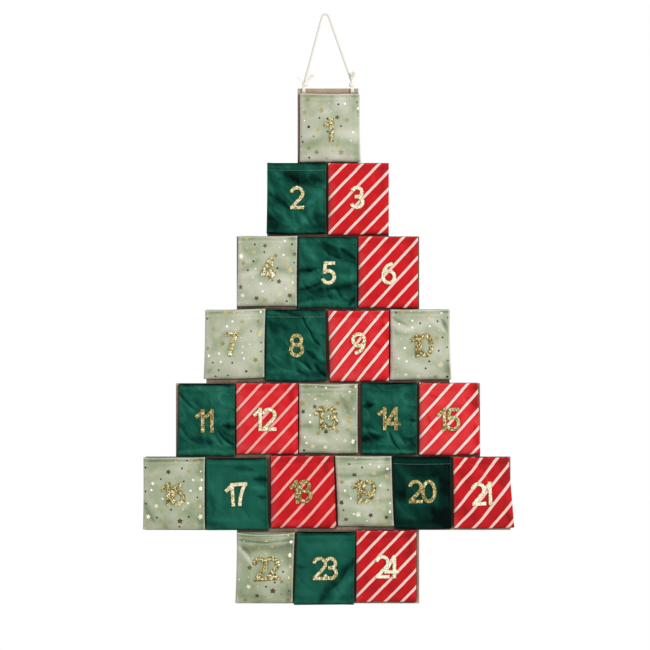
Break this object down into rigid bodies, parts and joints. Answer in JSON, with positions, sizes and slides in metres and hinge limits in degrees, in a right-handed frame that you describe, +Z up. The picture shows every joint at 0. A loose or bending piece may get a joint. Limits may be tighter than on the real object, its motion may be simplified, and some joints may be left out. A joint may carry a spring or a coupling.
{
  "type": "advent calendar",
  "caption": "Wall-hanging advent calendar: a stepped tree board on a cotton cord, with open fabric pouches that carry gold glitter numbers.",
  "frame": {"origin": "the hanging point: the underside of the cord where it lies over a nail", "axes": "front faces -Y, +X to the viewer's right, +Z up; the wall is on the +Y side"},
  "size_m": [0.6021, 0.0248, 0.9575],
  "materials": {
    "sawn_board": "bare thin board with scorched sawn edges",
    "cotton_cord": "twisted natural cotton",
    "sage_satin": "soft satin with foil stars and dots",
    "green_velvet": "crushed velvet",
    "striped_cotton": "smooth cotton with white diagonal stripes",
    "gold_glitter": "coarse gold glitter sheet"
  },
  "bodies": {
    "hanger": {"hanging_cord": "cotton_cord", "cord_ring_left": "cotton_cord", "cord_ring_right": "cotton_cord", "knot_left": "cotton_cord", "knot_right": "cotton_cord"},
    "board": {"tree_board": "sawn_board"},
    "pouch_01": {"pouch_01": "sage_satin", "number_01": "gold_glitter"},
    "pouch_02": {"pouch_02": "green_velvet", "number_02": "gold_glitter"},
    "pouch_03": {"pouch_03": "striped_cotton", "number_03": "gold_glitter"},
    "pouch_04": {"pouch_04": "sage_satin", "number_04": "gold_glitter"},
    "pouch_05": {"pouch_05": "green_velvet", "number_05": "gold_glitter"},
    "pouch_06": {"pouch_06": "striped_cotton", "number_06": "gold_glitter"},
    "pouch_07": {"pouch_07": "sage_satin", "number_07": "gold_glitter"},
    "pouch_08": {"pouch_08": "green_velvet", "number_08": "gold_glitter"},
    "pouch_09": {"pouch_09": "striped_cotton", "number_09": "gold_glitter"},
    "pouch_10": {"pouch_10": "sage_satin", "number_10": "gold_glitter"},
    "pouch_11": {"pouch_11": "green_velvet", "number_11": "gold_glitter"},
    "pouch_12": {"pouch_12": "striped_cotton", "number_12": "gold_glitter"},
    "pouch_13": {"pouch_13": "sage_satin", "number_13": "gold_glitter"},
    "pouch_14": {"pouch_14": "green_velvet", "number_14": "gold_glitter"},
    "pouch_15": {"pouch_15": "striped_cotton", "number_15": "gold_glitter"},
    "pouch_16": {"pouch_16": "sage_satin", "number_16": "gold_glitter"},
    "pouch_17": {"pouch_17": "green_velvet", "number_17": "gold_glitter"},
    "pouch_18": {"pouch_18": "striped_cotton", "number_18": "gold_glitter"},
    "pouch_19": {"pouch_19": "sage_satin", "number_19": "gold_glitter"},
    "pouch_20": {"pouch_20": "green_velvet", "number_20": "gold_glitter"},
    "pouch_21": {"pouch_21": "striped_cotton", "number_21": "gold_glitter"},
    "pouch_22": {"pouch_22": "sage_satin", "number_22": "gold_glitter"},
    "pouch_23": {"pouch_23": "green_velvet", "number_23": "gold_glitter"},
    "pouch_24": {"pouch_24": "striped_cotton", "number_24": "gold_glitter"}
  },
  "joints": [
    {"name": "board_swing", "type": "hinge", "parent": "hanger", "child": "board", "pos_m": [0.0042, 0, -0.121], "axis": [-1, 0, 0], "range_deg": [0, 30]},
    {"name": "pouch_01_lift", "type": "hinge", "parent": "board", "child": "pouch_01", "pos_m": [0.00696, -0.0018, -0.1275], "axis": [-1, 0, 0], "range_deg": [0, 25]},
    {"name": "pouch_02_lift", "type": "hinge", "parent": "board", "child": "pouch_02", "pos_m": [-0.04643, -0.0018, -0.23991], "axis": [-1, 0, 0], "range_deg": [0, 25]},
    {"name": "pouch_03_lift", "type": "hinge", "parent": "board", "child": "pouch_03", "pos_m": [0.05365, -0.0018, -0.2401], "axis": [-1, 0, 0], "range_deg": [0, 25]},
    {"name": "pouch_04_lift", "type": "hinge", "parent": "board", "child": "pouch_04", "pos_m": [-0.09361, -0.0018, -0.35812], "axis": [-1, 0, 0], "range_deg": [0, 25]},
    {"name": "pouch_05_lift", "type": "hinge", "parent": "board", "child": "pouch_05", "pos_m": [0.004, -0.0018, -0.3594], "axis": [-1, 0, 0], "range_deg": [0, 25]},
    {"name": "pouch_06_lift", "type": "hinge", "parent": "board", "child": "pouch_06", "pos_m": [0.10162, -0.0018, -0.3589], "axis": [-1, 0, 0], "range_deg": [0, 25]},
    {"name": "pouch_07_lift", "type": "hinge", "parent": "board", "child": "pouch_07", "pos_m": [-0.14591, -0.0018, -0.47554], "axis": [-1, 0, 0], "range_deg": [0, 25]},
    {"name": "pouch_08_lift", "type": "hinge", "parent": "board", "child": "pouch_08", "pos_m": [-0.048, -0.0018, -0.47712], "axis": [-1, 0, 0], "range_deg": [0, 25]},
    {"name": "pouch_09_lift", "type": "hinge", "parent": "board", "child": "pouch_09", "pos_m": [0.05345, -0.0018, -0.47869], "axis": [-1, 0, 0], "range_deg": [0, 25]},
    {"name": "pouch_10_lift", "type": "hinge", "parent": "board", "child": "pouch_10", "pos_m": [0.15284, -0.0018, -0.47662], "axis": [-1, 0, 0], "range_deg": [0, 25]},
    {"name": "pouch_11_lift", "type": "hinge", "parent": "board", "child": "pouch_11", "pos_m": [-0.19182, -0.0018, -0.59749], "axis": [-1, 0, 0], "range_deg": [0, 25]},
    {"name": "pouch_12_lift", "type": "hinge", "parent": "board", "child": "pouch_12", "pos_m": [-0.0945, -0.0018, -0.59621], "axis": [-1, 0, 0], "range_deg": [0, 25]},
    {"name": "pouch_13_lift", "type": "hinge", "parent": "board", "child": "pouch_13", "pos_m": [0.00479, -0.0018, -0.597], "axis": [-1, 0, 0], "range_deg": [0, 25]},
    {"name": "pouch_14_lift", "type": "hinge", "parent": "board", "child": "pouch_14", "pos_m": [0.10319, -0.0018, -0.59523], "axis": [-1, 0, 0], "range_deg": [0, 25]},
    {"name": "pouch_15_lift", "type": "hinge", "parent": "board", "child": "pouch_15", "pos_m": [0.19923, -0.0018, -0.59552], "axis": [-1, 0, 0], "range_deg": [0, 25]},
    {"name": "pouch_16_lift", "type": "hinge", "parent": "board", "child": "pouch_16", "pos_m": [-0.24481, -0.0018, -0.7162], "axis": [-1, 0, 0], "range_deg": [0, 25]},
    {"name": "pouch_17_lift", "type": "hinge", "parent": "board", "child": "pouch_17", "pos_m": [-0.14414, -0.0018, -0.71767], "axis": [-1, 0, 0], "range_deg": [0, 25]},
    {"name": "pouch_18_lift", "type": "hinge", "parent": "board", "child": "pouch_18", "pos_m": [-0.03756, -0.0018, -0.71383], "axis": [-1, 0, 0], "range_deg": [0, 25]},
    {"name": "pouch_19_lift", "type": "hinge", "parent": "board", "child": "pouch_19", "pos_m": [0.06123, -0.0018, -0.71413], "axis": [-1, 0, 0], "range_deg": [0, 25]},
    {"name": "pouch_20_lift", "type": "hinge", "parent": "board", "child": "pouch_20", "pos_m": [0.15618, -0.0018, -0.71491], "axis": [-1, 0, 0], "range_deg": [0, 25]},
    {"name": "pouch_21_lift", "type": "hinge", "parent": "board", "child": "pouch_21", "pos_m": [0.25173, -0.0018, -0.7157], "axis": [-1, 0, 0], "range_deg": [0, 25]},
    {"name": "pouch_22_lift", "type": "hinge", "parent": "board", "child": "pouch_22", "pos_m": [-0.09647, -0.0018, -0.83795], "axis": [-1, 0, 0], "range_deg": [0, 25]},
    {"name": "pouch_23_lift", "type": "hinge", "parent": "board", "child": "pouch_23", "pos_m": [0.00115, -0.0018, -0.83687], "axis": [-1, 0, 0], "range_deg": [0, 25]},
    {"name": "pouch_24_lift", "type": "hinge", "parent": "board", "child": "pouch_24", "pos_m": [0.09856, -0.0018, -0.8348], "axis": [-1, 0, 0], "range_deg": [0, 25]}
  ]
}
